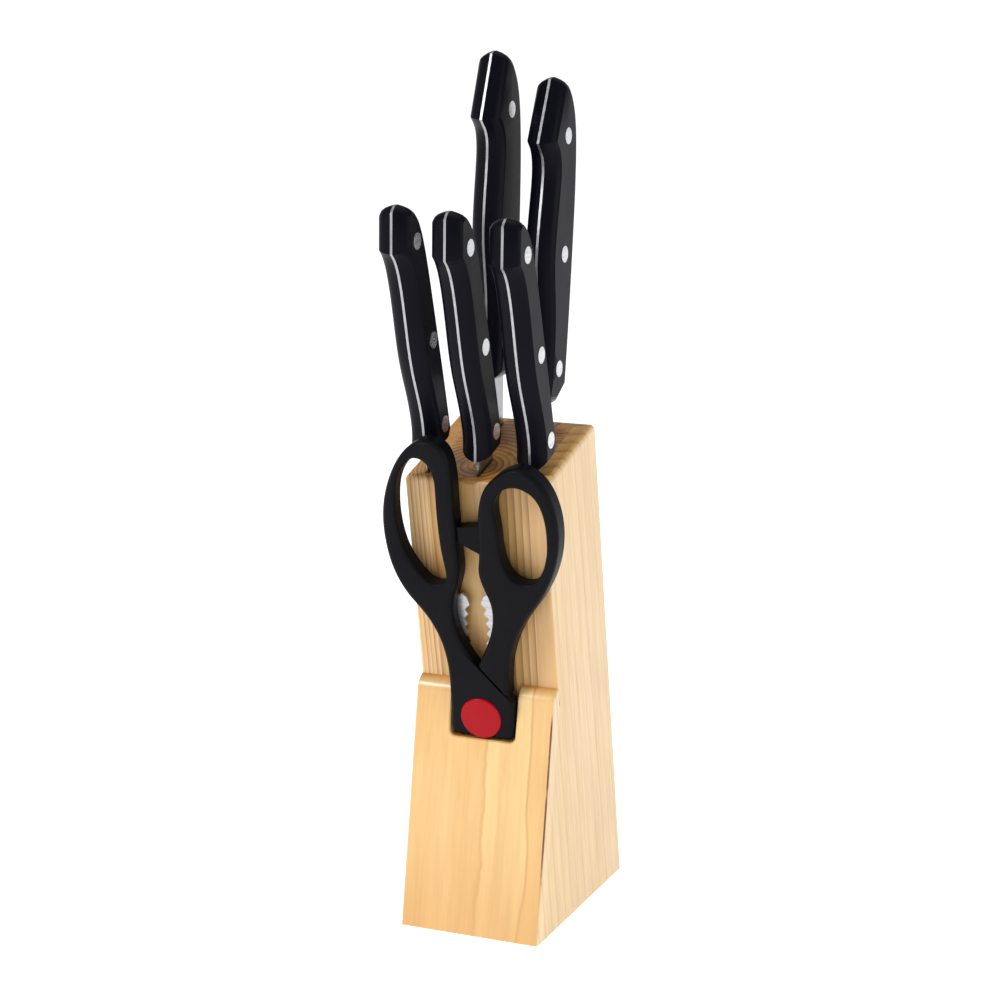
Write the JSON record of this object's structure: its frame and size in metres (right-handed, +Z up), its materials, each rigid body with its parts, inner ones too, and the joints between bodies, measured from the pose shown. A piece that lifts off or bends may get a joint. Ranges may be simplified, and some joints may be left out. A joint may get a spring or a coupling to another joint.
{
  "type": "knife block with knives",
  "caption": "Leaning pine block holding riveted full-tang kitchen knives that lift out, with kitchen shears standing in a notched front plate.",
  "frame": {"origin": "middle of the base's footprint, on the resting face", "axes": "+Z up; -Y is the front, where the shears stand; +X is to the right as seen from the front"},
  "size_m": [0.0748, 0.1171, 0.35],
  "materials": {
    "pine_cheek": "satin lacquer",
    "pine_core": "satin lacquer",
    "plate_pine": "satin lacquer",
    "dowel_wood": "bare",
    "blade_steel": "satin ground",
    "handle_black": "satin moulded",
    "rivet_steel": "polished",
    "shears_steel": "satin ground",
    "shears_black": "fine moulded grain",
    "screw_steel": "zinc plated",
    "cap_red": "semi-gloss moulded"
  },
  "bodies": {
    "block": {"left_cheek": "pine_cheek", "core_board_1": "pine_core", "core_board_2": "pine_core", "core_board_3": "pine_core", "core_board_4": "pine_core", "right_cheek": "pine_cheek", "front_plate": "plate_pine", "plate_dowels": "dowel_wood"},
    "tomato_knife": {"tomato_knife_blade": "blade_steel", "tomato_knife_scale_right": "handle_black", "tomato_knife_scale_left": "handle_black", "tomato_knife_rivets": "rivet_steel"},
    "utility_knife": {"utility_knife_blade": "blade_steel", "utility_knife_scale_right": "handle_black", "utility_knife_scale_left": "handle_black", "utility_knife_rivets": "rivet_steel"},
    "paring_knife": {"paring_knife_blade": "blade_steel", "paring_knife_scale_right": "handle_black", "paring_knife_scale_left": "handle_black", "paring_knife_rivets": "rivet_steel"},
    "chef_knife": {"chef_knife_blade": "blade_steel", "chef_knife_scale_right": "handle_black", "chef_knife_scale_left": "handle_black", "chef_knife_rivets": "rivet_steel"},
    "carving_knife": {"carving_knife_blade": "blade_steel", "carving_knife_scale_right": "handle_black", "carving_knife_scale_left": "handle_black", "carving_knife_rivets": "rivet_steel"},
    "shears_front_half": {"shears_front_blade": "shears_steel", "shears_left_handle": "shears_black", "shears_pivot_screw": "screw_steel", "shears_pivot_nut": "screw_steel", "shears_pivot_cap": "cap_red"},
    "shears_back_half": {"shears_back_blade": "shears_steel", "shears_right_handle": "shears_black"}
  },
  "joints": [
    {"name": "tomato_knife_lift", "type": "slide", "parent": "block", "child": "tomato_knife", "axis": [0, -0.3007, 0.9537], "range_m": [0, 0.117]},
    {"name": "utility_knife_lift", "type": "slide", "parent": "block", "child": "utility_knife", "axis": [0, -0.3007, 0.9537], "range_m": [0, 0.13]},
    {"name": "paring_knife_lift", "type": "slide", "parent": "block", "child": "paring_knife", "axis": [0, -0.2924, 0.9563], "range_m": [0, 0.095]},
    {"name": "chef_knife_lift", "type": "slide", "parent": "block", "child": "chef_knife", "axis": [0, 0.0175, 0.9998], "range_m": [0, 0.203]},
    {"name": "carving_knife_lift", "type": "slide", "parent": "block", "child": "carving_knife", "axis": [0, 0.0872, 0.9962], "range_m": [0, 0.17]},
    {"name": "shears_lift", "type": "slide", "parent": "block", "child": "shears_front_half", "axis": [0, -0.1736, 0.9848], "range_m": [0, 0.028]},
    {"name": "shears_open", "type": "hinge", "parent": "shears_front_half", "child": "shears_back_half", "pos_m": [0, -0.0244, 0.0896], "axis": [0, 0.9848, 0.1736], "range_deg": [0, 5.5]}
  ]
}
